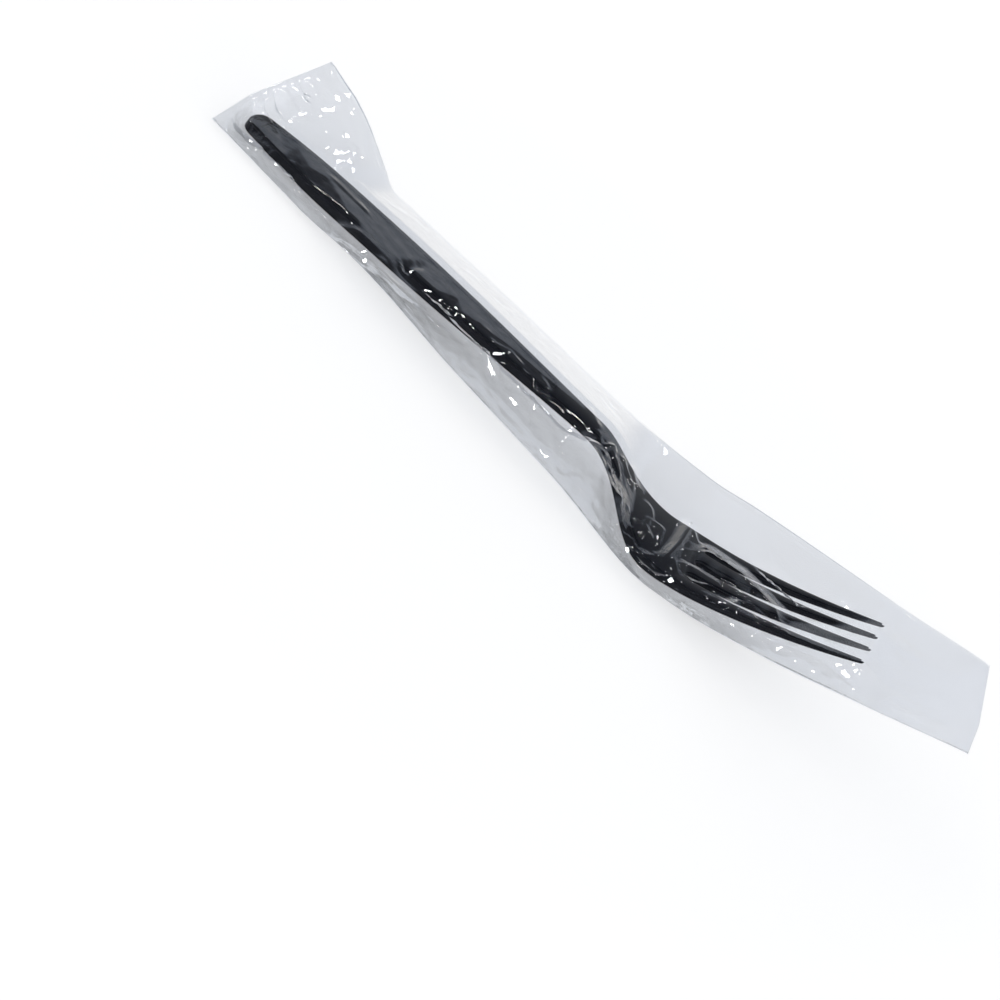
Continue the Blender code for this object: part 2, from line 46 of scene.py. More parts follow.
# The fork's own frame: x from the handle's end, y from its middle line, z from the surface.
forkLow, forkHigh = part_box("fork")
handleEnd = forkLow[0]
middleLine = (forkLow[1] + forkHigh[1]) / 2
toFrame = Vector((handleEnd, middleLine, 0))
print("frame loaded, fork from", [round(v, 4) for v in forkLow], "to", [round(v, 4) for v in forkHigh])


# Small curves that the shapes below share; all take single numbers or numpy arrays

def clamp(value, low=0.0, high=1.0):
    return np.minimum(np.maximum(value, low), high)


def mix(first, second, share):
    return first + (second - first) * share


def ease(share):
    share = clamp(share)
    return share * share * (3 - 2 * share)


def sharpEase(share):
    share = clamp(share)
    return share**3 * (share * (6 * share - 15) + 10)


def hump(share):
    # from 0 at both ends to 1 in the middle
    return 4 * share * (1 - share)


def throughPoints(points, x):
    # smooth curve that never overshoots its points (x, value)
    px, pz = np.array(points, dtype=float).T
    x = clamp(np.asarray(x, dtype=float), px[0], px[-1])
    steps = np.diff(pz) / np.diff(px)
    left, right = steps[:-1], steps[1:]
    total = left + right
    safe = np.where(total == 0, 1.0, total)
    inner = np.where(left * right > 0, 2 * left * right / safe, 0.0)
    slopes = np.concatenate(([steps[0]], inner, [steps[-1]]))
    k = np.clip(np.searchsorted(px, x, side="right") - 1, 0, len(px) - 2)
    run = px[k + 1] - px[k]
    t = (x - px[k]) / run
    return (
        pz[k] * (1 + 2 * t) * (1 - t) ** 2
        + slopes[k] * run * t * (1 - t) ** 2
        + pz[k + 1] * t * t * (3 - 2 * t)
        + slopes[k + 1] * run * t * t * (t - 1)
    )


# Fork: one moulding, a top plate with a skirt turned down round its edge

fork = dict(
    length=172 * mm,
    crest=100 * mm,  # highest point of the neck, from the handle's end
    neck=103.5 * mm,
    bowl=125 * mm,  # lowest point of the top face
    shoulder=134 * mm,
    slots=136 * mm,
    endRound=4 * mm,
    endWidth=8.6 * mm,
    endFullness=0.8,
    grip=29 * mm,
    gripWidth=12.6 * mm,
    gripSwell=2.6,
    neckWidth=6.8 * mm,
    neckTaper=1.5,
    tineCount=4,
    tineWidth=4.4 * mm,
    tinePitch=6.8 * mm,
    tipPitch=6.3 * mm,
    tinePoint=1.3,
    tineFullness=0.8,
    tipInset=1.4,
    base=0.48 * mm,  # the fork lies on the film, this far above the surface
    crestHeight=10.2 * mm,
    tipHeight=22.4 * mm,
    handleBow=0.3 * mm,
    tineSweep=1.45,
    # in mm: (place along the fork, how deep the skirt hangs there)
    skirt=[(0, 2.4), (29, 3.0), (47, 3.0), (100, 2.4), (118, 3.3), (133.6, 2.3), (172, 1.2)],
    stepWidth=0.5 * mm,
    stepDrop=0.45 * mm,
    stepFillet=0.08 * mm,
    edgeRound=0.2 * mm,
    skirtRound=0.35 * mm,
    skirtWall=1.25 * mm,
    plate=1.3 * mm,
    hollowStart=2.2 * mm,
    hollowEnd=130 * mm,
    hollowFade=20 * mm,
    hollowLastStep=0.3 * mm,
    panelStart=2.8 * mm,
    panelEnd=88 * mm,
    panelRim=0.9 * mm,
    panelSlope=0.2 * mm,
    panelDepth=0.35 * mm,
    panelCorner=2.4 * mm,
    panelEndWidth=0.45,
    grainSize=0.55 * mm,
    grainDepth=0.07 * mm,
    grainSoftness=0.35,
    grainSlope=(0.15, 0.75),  # a pebble falls from full height to none between these distances
    # how finely the mesh follows the shape
    panelStep=0.42 * mm,
    sideStep=1.0 * mm,
    cornerSteps=8,
    panelColumns=24,
    tineSteps=36,
    rootSteps=16,
    endSteps=14,
    roundSteps=3,
    # finish: a cloudy near-black, satin where it faces up and polished where it is steep
    tints=[(0.3, (0.0042, 0.0050, 0.0082, 1)), (0.7, (0.0062, 0.0074, 0.0118, 1))],
    cloudScale=90.0,
    cloudDetail=3.0,
    cloudRoughness=0.08,
    facingUp=(0.55, 0.9),
    roughness=(0.14, 0.34),
    finishScale=2600.0,
    finishDetail=2.0,
    finishBump=(0.12, 0.04 * mm),
    ior=1.5,
    specular=0.17,
    sharpEdge=radians(50),
)
headWidth = (fork["tineCount"] - 1) * fork["tinePitch"] + fork["tineWidth"]
tineLength = fork["length"] - fork["slots"]


def forkHalfWidth(x):
    f = fork
    toGrip = clamp((x - f["endRound"]) / (f["grip"] - f["endRound"]))
    endPart = mix(f["endWidth"], f["gripWidth"], 1 - (1 - toGrip) ** f["gripSwell"])
    toNeck = clamp((x - f["grip"]) / (f["neck"] - f["grip"])) ** f["neckTaper"]
    gripPart = mix(f["gripWidth"], f["neckWidth"], ease(toNeck))
    toShoulder = (x - f["neck"]) / (f["shoulder"] - f["neck"])
    headPart = mix(f["neckWidth"], headWidth, sharpEase(toShoulder))
    return np.where(x < f["grip"], endPart, np.where(x < f["neck"], gripPart, headPart)) / 2


def skirtDepth(x):
    return throughPoints(fork["skirt"], np.asarray(x) / mm) * mm


def topHeight(x):
    # straight handle, a dip into the bowl, then rising tines
    f = fork
    x = clamp(np.asarray(x, dtype=float), 0, f["length"])
    share = x / f["crest"]
    handle = mix(skirtDepth(0), f["crestHeight"], share) + f["handleBow"] * np.sin(pi * share)
    bowlHeight = skirtDepth(f["bowl"])
    dip = mix(f["crestHeight"], bowlHeight, ease((x - f["crest"]) / (f["bowl"] - f["crest"])))
    rise = clamp((x - f["bowl"]) / (f["length"] - f["bowl"])) ** f["tineSweep"]
    tines = mix(bowlHeight, f["tipHeight"], rise)
    return f["base"] + np.where(x < f["crest"], handle, np.where(x < f["bowl"], dip, tines))


def tineMiddle(tine, share):
    return (tine - (fork["tineCount"] - 1) / 2) * mix(fork["tinePitch"], fork["tipPitch"], share)


def sideStations():
    # places along both sides, finest round the panel's corners
    f = fork
    edge = f["panelEnd"] - f["panelRim"]
    corner, short = edge - f["panelCorner"], f["panelCorner"] / f["cornerSteps"]
    stops = [
        (f["endRound"], corner, f["panelStep"]),
        (corner, edge - short, short),
        (edge - short, f["panelEnd"], f["panelRim"] + short),
        (f["panelEnd"], f["crest"], f["sideStep"]),
        (f["crest"], f["slots"] - f["tineWidth"], f["sideStep"]),
    ]
    places = [f["endRound"]]
    for start, end, step in stops:
        count = max(1, round((end - start) / step))
        places += [mix(start, end, i / count) for i in range(1, count + 1)]
    return places


def tineFlank(tine, side, inset):
    length = tineLength - fork["tipInset"] * inset
    points = []
    for step in range(fork["tineSteps"]):
        share = sin(step / fork["tineSteps"] * pi / 2)
        taper = (1 - share ** fork["tinePoint"]) ** fork["tineFullness"]
        half = (fork["tineWidth"] / 2 - inset) * taper
        middle = tineMiddle(tine, share * length / tineLength)
        points.append((fork["slots"] + share * length, middle + side * half))
    return points


def slotRoot(slot, inset):
    middle = (tineMiddle(slot, 0) + tineMiddle(slot + 1, 0)) / 2
    radius = (fork["tinePitch"] - fork["tineWidth"]) / 2 + inset
    turns = [pi * step / fork["rootSteps"] for step in range(1, fork["rootSteps"])]
    return [(fork["slots"] - radius * sin(turn), middle - radius * cos(turn)) for turn in turns]


def forkOutline(inset):
    # the edge drawn inwards by inset, and the pairs of points that face each other
    f = fork
    near = [(inset, 0.0)]
    for step in range(1, f["endSteps"]):
        turn = step / f["endSteps"] * pi / 2
        reach = f["endRound"] - (f["endRound"] - inset) * cos(turn) ** f["endFullness"]
        near.append((reach, -(f["endWidth"] / 2 - inset) * sin(turn) ** f["endFullness"]))
    near += [(x, inset - float(forkHalfWidth(x))) for x in sideStations()]
    points = list(near)
    rungs = []
    for tine in range(f["tineCount"]):
        start = len(points)
        points += tineFlank(tine, -1, inset)
        tip = f["length"] - f["tipInset"] * inset
        points.append((tip, tineMiddle(tine, (tip - f["slots"]) / tineLength)))
        points += reversed(tineFlank(tine, 1, inset))
        last = len(points) - 1
        rungs += [(start + step, last - step) for step in range(f["tineSteps"])]
        if tine < f["tineCount"] - 1:
            points += slotRoot(tine, inset)
    total = len(points) + len(near) - 1
    points += [(x, -y) for x, y in reversed(near[1:])]
    rungs += [(index, total - index) for index in range(1, len(near))]
    return points, rungs


def edgeProfile(depth):
    # from the top face down to the underside: (inset, depth), with every corner rounded
    f = fork
    turns = [pi / 2 * k / f["roundSteps"] for k in range(f["roundSteps"] + 1)]
    small, large = f["edgeRound"], f["skirtRound"]
    path = [(f["stepWidth"] + small * (1 - sin(t)), small * (1 - cos(t))) for t in turns]
    path += [(f["stepWidth"], f["stepDrop"] - f["stepFillet"])]
    path += [(f["stepWidth"] - f["stepFillet"], f["stepDrop"])]
    path += [(small * (1 - sin(t)), f["stepDrop"] + small * (1 - cos(t))) for t in turns]
    path += [(large * (1 - cos(t)), depth - large * (1 - sin(t))) for t in turns]
    return path


def fillLoop(mesh, verts, rungs, upward):
    # one face over the whole outline, cut across wherever two points face each other
    mesh.faces.new(verts if upward else verts[::-1])
    for first, second in rungs:
        start, end = verts[first], verts[second]
        shared = [face for face in start.link_faces if end in face.verts and len(face.verts) > 3]
        if shared and not mesh.edges.get((start, end)):
            bmesh.utils.face_split(shared[0], start, end)


def facesBetween(mesh, start, end, upward):
    # whole faces between two places, on the level top or looking down
    slip, lookingDown = 1e-6, -0.9
    chosen = []
    for face in mesh.faces:
        if not all(start - slip < vert.co.x < end + slip for vert in face.verts):
            continue
        if upward and all(vert.co.z > -slip for vert in face.verts):
            chosen.append(face)
        elif not upward and face.normal.z < lookingDown:
            chosen.append(face)
    return chosen


def runsAcross(edge):
    first, second = [vert.co for vert in edge.verts]
    square = 1e-5
    return first.y * second.y < 0 and abs(first.x - second.x) < square


def sinkPanel(mesh, grain):
    f = fork
    panel = facesBetween(mesh, f["panelStart"], f["panelEnd"], True)
    bmesh.ops.inset_region(mesh, faces=panel, thickness=f["panelRim"], use_even_offset=True)
    edgeX = f["panelEnd"] - f["panelRim"]
    for vert in {vert for face in panel for vert in face.verts}:
        share = clamp((vert.co.x - edgeX + f["panelCorner"]) / f["panelCorner"])
        vert.co.y *= sqrt(1 - (1 - f["panelEndWidth"] ** 2) * share**2)
    bmesh.ops.inset_region(
        mesh, faces=panel, thickness=f["panelSlope"], depth=-f["panelDepth"], use_even_offset=True
    )
    # columns across the sunk floor carry the grain
    across = [edge for edge in {edge for face in panel for edge in face.edges} if runsAcross(edge)]
    columns = f["panelColumns"]
    done = bmesh.ops.subdivide_edges(mesh, edges=across, cuts=columns, use_grid_fill=True)
    for item in done["geom_inner"]:
        if isinstance(item, bmesh.types.BMVert):
            item[grain] = 1.0


def hollowUnderside(mesh):
    f = fork
    floor = facesBetween(mesh, f["hollowStart"], f["hollowEnd"], False)
    wall = f["skirtWall"] - f["skirtRound"]
    bmesh.ops.inset_region(mesh, faces=floor, thickness=wall, use_even_offset=True)
    bmesh.ops.inset_region(mesh, faces=floor, thickness=f["edgeRound"], use_even_offset=True)
    for vert in {vert for face in floor for vert in face.verts}:
        share = ease((vert.co.x - f["hollowEnd"] + f["hollowFade"]) / f["hollowFade"])
        depth = float(skirtDepth(vert.co.x))
        vert.co.z = -mix(f["plate"], depth - f["hollowLastStep"], float(share))


def makeForkMesh():
    mesh = bmesh.new()
    grain = mesh.verts.layers.float.new("grain")
    profile = edgeProfile(0.0)
    loops = []
    for level, (inset, _) in enumerate(profile):
        points, rungs = forkOutline(inset)
        depths = skirtDepth(np.array([x for x, _ in points]))
        verts = []
        for (x, y), depth in zip(points, depths):
            verts.append(mesh.verts.new((x, y, -edgeProfile(float(depth))[level][1])))
        loops.append(verts)
    for upper, lower in zip(loops, loops[1:]):
        for index in range(len(upper)):
            after = (index + 1) % len(upper)
            mesh.faces.new((upper[index], lower[index], lower[after], upper[after]))
    fillLoop(mesh, loops[0], rungs, True)
    fillLoop(mesh, loops[-1], rungs, False)
    mesh.normal_update()
    sinkPanel(mesh, grain)
    mesh.normal_update()
    hollowUnderside(mesh)
    tops = topHeight(np.array([vert.co.x for vert in mesh.verts]))
    for vert, top in zip(mesh.verts, tops):
        vert.co.z += float(top)
        vert.co += toFrame
    bmesh.ops.recalc_face_normals(mesh, faces=mesh.faces)
    return mesh


def meshObject(name, mesh):
    data = bpy.data.meshes.new(name)
    mesh.to_mesh(data)
    mesh.free()
    data.shade_smooth()
    piece = bpy.data.objects.new(name, data)
    bpy.context.scene.collection.objects.link(piece)
    return piece


# Small groups of nodes that the trees below share; each gives the socket that it ends in

def maths(tree, operation, *values):
    node = tree.nodes.new("ShaderNodeMath")
    node.operation = operation
    for socket, value in zip(node.inputs, values):
        if isinstance(value, bpy.types.NodeSocket):
            tree.links.new(value, socket)
        else:
            socket.default_value = value
    return node.outputs[0]


def mapRange(tree, value, before, after):
    node = tree.nodes.new("ShaderNodeMapRange")
    for name, number in zip(("From Min", "From Max", "To Min", "To Max"), (*before, *after)):
        node.inputs[name].default_value = number
    tree.links.new(value, node.inputs["Value"])
    return node.outputs["Result"]


def noise(tree, scale, detail):
    node = tree.nodes.new("ShaderNodeTexNoise")
    node.inputs["Scale"].default_value = scale
    node.inputs["Detail"].default_value = detail
    coords = tree.nodes.new("ShaderNodeTexCoord")
    tree.links.new(coords.outputs["Object"], node.inputs["Vector"])
    return node.outputs["Fac"]


def bump(tree, height, strength, distance):
    node = tree.nodes.new("ShaderNodeBump")
    node.inputs["Strength"].default_value = strength
    node.inputs["Distance"].default_value = distance
    tree.links.new(height, node.inputs["Height"])
    return node.outputs["Normal"]


def mixShader(tree, share, first, second):
    node = tree.nodes.new("ShaderNodeMixShader")
    for socket, value in zip(node.inputs, (share, first, second)):
        tree.links.new(value, socket)
    return node.outputs[0]


def addInput(tree, name, kind, value=None):
    socket = tree.interface.new_socket(name=name, in_out="INPUT", socket_type=kind)
    if value is not None:
        socket.default_value = value


def reliefTree(name, sizes, material, attribute, pattern, direction=None):
    # moves the surface by the pattern's height times its depth and the attribute, along its normal
    # or in one direction; sizes names the pattern's size, then its depth
    tree = bpy.data.node_groups.new(name, "GeometryNodeTree")
    addInput(tree, "Geometry", "NodeSocketGeometry")
    for label, value in sizes.items():
        addInput(tree, label, "NodeSocketFloat", value)
    addInput(tree, "Surface", "NodeSocketMaterial", material)
    tree.interface.new_socket(name="Geometry", in_out="OUTPUT", socket_type="NodeSocketGeometry")
    new, link = tree.nodes.new, tree.links.new
    start, end = new("NodeGroupInput"), new("NodeGroupOutput")
    size, depth = [start.outputs[label] for label in sizes]
    height = pattern(tree, maths(tree, "DIVIDE", 1.0, size))
    mask = new("GeometryNodeInputNamedAttribute")
    mask.data_type = "FLOAT"
    mask.inputs["Name"].default_value = attribute
    masked = maths(tree, "MULTIPLY", height, mask.outputs["Attribute"])
    offset = new("ShaderNodeVectorMath")
    offset.operation = "SCALE"
    if direction:
        offset.inputs[0].default_value = direction
    else:
        link(new("GeometryNodeInputNormal").outputs[0], offset.inputs[0])
    link(maths(tree, "MULTIPLY", masked, depth), offset.inputs["Scale"])
    move = new("GeometryNodeSetPosition")
    link(start.outputs["Geometry"], move.inputs["Geometry"])
    link(offset.outputs["Vector"], move.inputs["Offset"])
    realize = new("GeometryNodeRealizeInstances")
    link(move.outputs[0], realize.inputs[0])
    paint = new("GeometryNodeSetMaterial")
    link(realize.outputs[0], paint.inputs["Geometry"])
    link(start.outputs["Surface"], paint.inputs["Material"])
    link(paint.outputs[0], end.inputs[0])
    return tree


def runTree(piece, tree, values):
    # sets the inputs, evaluates once and keeps the result as a plain mesh
    modifier = piece.modifiers.new(tree.name, "NODES")
    modifier.node_group = tree
    ids = {item.name: item.identifier for item in tree.interface.items_tree if item.in_out == "INPUT"}
    for name, value in values.items():
        modifier[ids[name]] = value
    depsgraph = bpy.context.evaluated_depsgraph_get()
    plain = bpy.data.meshes.new_from_object(piece.evaluated_get(depsgraph))
    piece.modifiers.remove(modifier)
    old = piece.data
    piece.data = plain
    bpy.data.meshes.remove(old)
    plain.name = piece.name
    plain.shade_smooth()


def pebbles(tree, scale):
    # soft round bumps, highest in the middle of each
    cells = tree.nodes.new("ShaderNodeTexVoronoi")
    cells.feature = "SMOOTH_F1"
    cells.inputs["Smoothness"].default_value = fork["grainSoftness"]
    place = tree.nodes.new("GeometryNodeInputPosition")
    tree.links.new(place.outputs[0], cells.inputs["Vector"])
    tree.links.new(scale, cells.inputs["Scale"])
    return mapRange(tree, cells.outputs["Distance"], fork["grainSlope"], (1.0, 0.0))


def forkMaterial():
    # near-black plastic: satin on its flat faces, shinier down the polished skirt
    f = fork
    material = bpy.data.materials.new("blackPolystyrene")
    material.use_nodes = True
    tree = material.node_tree
    new, link = tree.nodes.new, tree.links.new
    shader = tree.nodes["Principled BSDF"]
    cloud = noise(tree, f["cloudScale"], f["cloudDetail"])
    tint = new("ShaderNodeValToRGB")
    for stop, (place, color) in zip(tint.color_ramp.elements, f["tints"]):
        stop.position, stop.color = place, color
    link(cloud, tint.inputs["Fac"])
    link(tint.outputs["Color"], shader.inputs["Base Color"])
    split = new("ShaderNodeSeparateXYZ")
    link(new("ShaderNodeNewGeometry").outputs["Normal"], split.inputs[0])
    satin = mapRange(tree, split.outputs["Z"], f["facingUp"], f["roughness"])
    link(maths(tree, "MULTIPLY_ADD", cloud, f["cloudRoughness"], satin), shader.inputs["Roughness"])
    fine = noise(tree, f["finishScale"], f["finishDetail"])
    link(bump(tree, fine, *f["finishBump"]), shader.inputs["Normal"])
    shader.inputs["IOR"].default_value = f["ior"]
    shader.inputs["Specular IOR Level"].default_value = f["specular"]
    return material


def makeFork():
    material = forkMaterial()
    piece = meshObject("fork_moulding", makeForkMesh())
    piece.data.materials.append(material)
    sizes = {"Grain Size": fork["grainSize"], "Grain Depth": fork["grainDepth"]}
    tree = reliefTree("pebbleGrain", sizes, material, "grain", pebbles)
    runTree(piece, tree, {**sizes, "Surface": material})
    piece.data.set_sharp_from_angle(angle=fork["sharpEdge"])
    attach(piece, "root")
    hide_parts("fork")
    print("fork:", len(piece.data.polygons), "faces")


makeFork()


# Film: one sheet folded flat to a sleeve, lapped underneath and welded across both ends

film = dict(
    flat=(86 * mm, 200.8 * mm),
    thickness=0.045 * mm,
    halfWidth=20 * mm,
    freeAtHandle=3.4 * mm,
    freeAtTips=25.4 * mm,
    weld=0.9 * mm,
    clearance=0.2 * mm,
    slack=1.1 * mm,
    openAtHandle=8 * mm,  # the upper layer leaves the lower one over this run
    openAtTips=24 * mm,
    pucker=0.6,  # the handle's weld puckers the film by this share of its run
    puckerSize=0.8 * mm,
    puckerBeat=2.3,  # the second, longer wave, to the first
    gather=0.16 * mm,
    gatherRun=5 * mm,
    underPucker=0.6,  # how much the lower layer puckers there, to the upper one
    tent=1.2 * mm,  # how high the upper layer stands off the head, midway to the tips
    loft=0.9 * mm,  # how high it stands off the handle between its dents
    loftEnd=126 * mm,
    loftRamps=(8 * mm, 20 * mm),
    restSag=0.9 * mm,
    slackLift=(0.15, 0.5),  # share of the slack that lifts the near flank, and the rest
    layersApart=3,  # thicknesses that the upper layer stays over the surface
    creasedApart=2,  # thicknesses that its dents stay over the lower layer
    weldGap=0.52,  # share of the thickness that each layer stands off a weld's middle
    tipHold=0.25,  # the film is held out to this share of the outer tines' width at their tips
    lap=6 * mm,
    # where each side fold runs, in mm: (place along the fork, shift to the far side, height)
    nearFold=[
        (-3.4, 8.0, 1.1), (23, 8.0, 1.2), (37, 4.2, 4.4), (46, 0.2, 6.7), (70, 0, 5.6), (100, 0, 5.1),
        (125, 0, 3.0), (136, 0, 4.8), (157, 0, 11.9), (172, 0, 18.4), (197.4, 0, 30.1),
    ],
    farFold=[
        (-3.4, 4.2, 13.0), (5, 2.6, 12.2), (10, 2.6, 10.9), (24, 0.9, 6.0), (30, 0.1, 4.0), (38, 0, 4.5),
        (66, 0, 6.3), (100, 0, 8.3), (125, 0, 11.6), (136, 0, 14.6), (172, 0, 23.1), (197.4, 0, 28.9),
    ],
    # the ends lean along x: at the handle, at the tips, from this share of the width, over this run
    lean=(5.5 * mm, -4.2 * mm, 0.35, 48 * mm),
    # rows, in mm: (place along the fork, distance between rows from there on)
    rowSteps=[(-2.5, 0.62), (30, 0.9), (55, 0.62), (98, 0.42), (150, 0.56), (175, 1.1), (196.5, 1.1)],
    weldRows=3,
    nearPart=0.52,  # share of the upper layer's width that has the near columns and most creases
    nearColumns=70,
    farColumns=34,
    underColumns=17,  # of each half of the lower layer
    kneeRun=3.6 * mm,  # the near flank hugs the skirt this far before it runs out to its fold
    kneeDrop=1.15 * mm,
    # where it stays level with the top face instead: (place along the fork in mm, share)
    level=[(-4, 0), (29, 0), (36, 1), (44, 1), (49, 0), (198, 0)],
    hugUpTo=(20 * mm, 38 * mm),  # the film clings up to the first place, and is slack from the second
    fade=0.25,  # how far from folds and welds the creases and the crinkle fade out, as a share
    creaseTaper=0.14,  # share of a crease's length over which it grows and fades
    buckleWidth=(0.35, 0.8),  # of its length
    buckleSunk=0.4,  # share of the buckles that go down
    facetRim=0.25,  # share of a facet's radius that blends it in
    underBuckle=1.1,  # how deep the lower layer's buckles are, to the upper layer's
    underLoose=2.5,  # crinkle of the lower layer where it hangs free, to the upper layer's
    standHeight=1 * mm,  # from this high off the surface the lower layer buckles in full
    crinkle=0.08 * mm,
    crinkleSize=3.4 * mm,
    crinkleTurn=radians(31),
    farCalm=0.2,  # share of the crinkle on the smoother far side
    calmRun=(0.5, 0.2),  # it calms down from this share of the width on, over the next share
    seed=7,
    # finish: clear, with a trace of milky haze in clouds and a slightly uneven gloss
    tint=(0.962, 0.968, 0.978, 1),
    milk=(0.86, 0.88, 0.92, 1),
    hazeScale=130.0,
    hazeDetail=3.0,
    hazeClouds=(0.35, 0.75),
    haze=(0.0005, 0.0035),
    rippleScale=420.0,
    rippleDetail=2.0,
    rippleBump=(0.25, 0.1 * mm),
    roughness=0.035,
    ior=1.45,
)
lowestFilm = 1.5 * film["thickness"]  # where the film lies on the surface, with room for its lap

# Dents of the upper layer, in mm: the corners of each, with the slope in from the side that starts there
dents = [
    [(-1, -8.1, 2), (10, -8.1, 2), (12.2, -0.5, 0.3), (7.5, 5, 0.3), (-1, 5.9, 2)],
    [(8, -8.6, 2), (17.5, -8.6, 2), (17.5, -3.4, 0.22), (12.2, -0.5, 0.3), (8, 0.9, 2)],
    [
        (14, -8.6, 2), (33, -10.6, 2), (35.4, -9.9, 0.22),
        (28.9, -5.9, 0.22), (22.5, -1.3, 0.3), (17.5, -3.4, 2),
    ],
    [(45.6, -6.6, 2), (48.4, -9.3, 1.2), (49.8, 1.7, 0.35)],
    [(52, -9.1, 2), (63.5, -8.1, 0.5), (59, -2.4, 0.27)],
    [(60, -9.1, 2), (100, -9.1, 2), (102.5, -6.1, 0.4), (97, -0.3, 0.24), (74, -2.5, 0.24), (62, -5.6, 0.5)],
    [(141, 3.9, 2), (156, -0.1, 2), (160, 3.9, 0.25), (146, 7.4, 0.25)],
]

# Creases of the upper layer, in mm: path, width to its left, width to its right, height
creases = [
    ([(13, 21.4), (16.5, 17.9), (21, 15.9)], 1.3, 1.1, 0.4),
    ([(16, 22.9), (19, 19.4), (24, 17.9)], 1.0, 1.2, 0.4),
    ([(20, 0), (27, -0.5), (34.4, -1.4)], 1.3, 0.9, 0.16),
    ([(57.8, -9.3), (59, -4.1)], 0.7, 0.6, 0.22),
    ([(44, -15.3), (48, -14.5), (54, -12.9)], 1.2, 0.8, 0.3),
    ([(70.2, -9.2), (73, -10.2), (77.4, -13.3)], 0.9, 0.8, 0.5),
    ([(66, -7.9), (71, -5.9), (75.2, -3.8), (80, -4.7)], 1.1, 0.7, 0.28),
    ([(73.6, -8.2), (80.1, -5.5), (82.3, -9)], 1.2, 0.8, 0.32),
    ([(82.6, -2.5), (88, -5)], 1.2, 0.7, 0.28),
    ([(86, -6.5), (91, -5.3), (96, -6.5)], 1.2, 0.8, 0.28),
    ([(94.3, 1.8), (99.6, -2.7)], 1.8, 0.9, 0.42),
    ([(96.6, -9.1), (101, -10.9), (106, -12.5), (112, -12.5), (116, -9.9)], 7.0, 3.5, 3.2),
    ([(102.4, -7.9), (104, -4.3), (105.4, -1.7)], 1.2, 0.8, 0.85),
    ([(105.8, -4.3), (109.4, -5.7), (112.6, -10.4)], 1.3, 0.9, 0.85),
    ([(107, -1.3), (110.6, -2.7), (114.6, -2.3)], 1.6, 0.8, 0.77),
    ([(109.6, 0.7), (113, -0.7), (116.6, -0.3)], 2.6, 0.9, 0.6),
    ([(116.8, -1.5), (119.4, -2.3), (120.9, -3.8), (120.7, -7.1), (124.4, -8.9)], 1.2, 0.9, 0.59),
    ([(119.6, -5.9), (122, -4.3), (124.2, -4.4), (126, -9.9)], 1.1, 0.8, 0.56),
    ([(126.9, 3.2), (127.9, 0.4), (128.7, -6.1), (128.7, -9.3), (128.5, -13.1)], 2.4, 1.9, 2.2),
    ([(126.6, 3.7), (129.2, 0.7), (132, -2.5)], 1.4, 1.2, 1.15),
    ([(123.4, -15.5), (127.2, -12.1), (131, -12.5), (133.2, -14.3)], 1.9, 0.8, 0.75),
    ([(133, -14.1), (129.5, -16.1), (125.6, -16.3), (123, -14.9)], 0.7, 1.0, 0.49),
    ([(128.6, -8.9), (130.6, -10.7), (133.6, -14.1)], 2.4, 1.2, 1.2),
    ([(130.6, -10.3), (133.2, -9.1), (136.1, -8.7), (141.8, -8.5)], 2.4, 1, 1),
    ([(131.2, -10.3), (133.9, -12.3), (137.4, -11.7), (141.6, -8.3)], 1.5, 0.9, 0.7),
    ([(130.6, -6), (133.1, -5), (135.6, -4.2), (142.1, -4.3), (148.4, -6.7), (155, -9.9)], 5.4, 2.2, 2.7),
    ([(139.6, -6.5), (142.3, -7.1), (147.9, -9.1), (153.4, -11.5)], 2.4, 1, 1),
    ([(143.6, -5.7), (146.4, -7.1), (149.6, -7.7)], 3.4, 1.2, 1.5),
    ([(150.2, -11.3), (152.4, -12.3), (154.8, -12.1)], 1.0, 0.7, 0.58),
    ([(153.8, -10.9), (157, -11.9)], 0.8, 0.7, 0.49),
    (
        [(144.8, -14.3), (146.1, -9.7), (148.4, -8.7), (151, -10.3), (153, -11.5), (155.6, -7.5)],
        2.4, 1, 1.05,
    ),
    ([(151.6, -16), (155, -15.4), (160.6, -15.7)], 1.1, 0.8, 0.49),
    ([(161.0, 8.8), (163.4, 8.4), (165.6, 9.0)], 0.9, 0.9, 0.3),
    ([(181.5, -14.7), (185, -11.9), (188.4, -11.3), (191.5, -14.3)], 1.0, 0.8, 0.25),
]

# Small buckles, scattered: x from, to, y from, to, count, length from, to, height from, to (mm)
buckles = [
    (8, 21, -9.5, -5.5, 22, 0.9, 2.6, 0.15, 0.45),
    (54, 66, -12, -5.5, 8, 0.9, 2.2, 0.08, 0.22),
    (66, 92, -11, -4, 30, 0.9, 3.0, 0.12, 0.45),
    (99, 116, -12.5, -1, 16, 1.0, 3.0, 0.15, 0.4),
    (116, 128, -14, -3, 12, 1.2, 3.2, 0.1, 0.35),
    (118, 145, -19, -13, 46, 0.8, 2.6, 0.12, 0.45),
    (130, 150, -13, 3, 14, 1.6, 4.0, 0.15, 0.4),
    (143, 174, -19, -13.5, 34, 0.6, 1.8, 0.08, 0.26),
    (40, 122, -19, -12, 40, 1.6, 5.0, 0.08, 0.28),
    (-2, 26, 6, 23, 44, 1.0, 3.4, 0.1, 0.4),
    (-1, 36, -13, -7, 26, 1.0, 3.2, 0.08, 0.3),
    (26, 170, 8, 19, 40, 2.0, 6.0, 0.04, 0.13),
    (172, 195, -18, 18, 26, 1.4, 6.0, 0.05, 0.22),
]

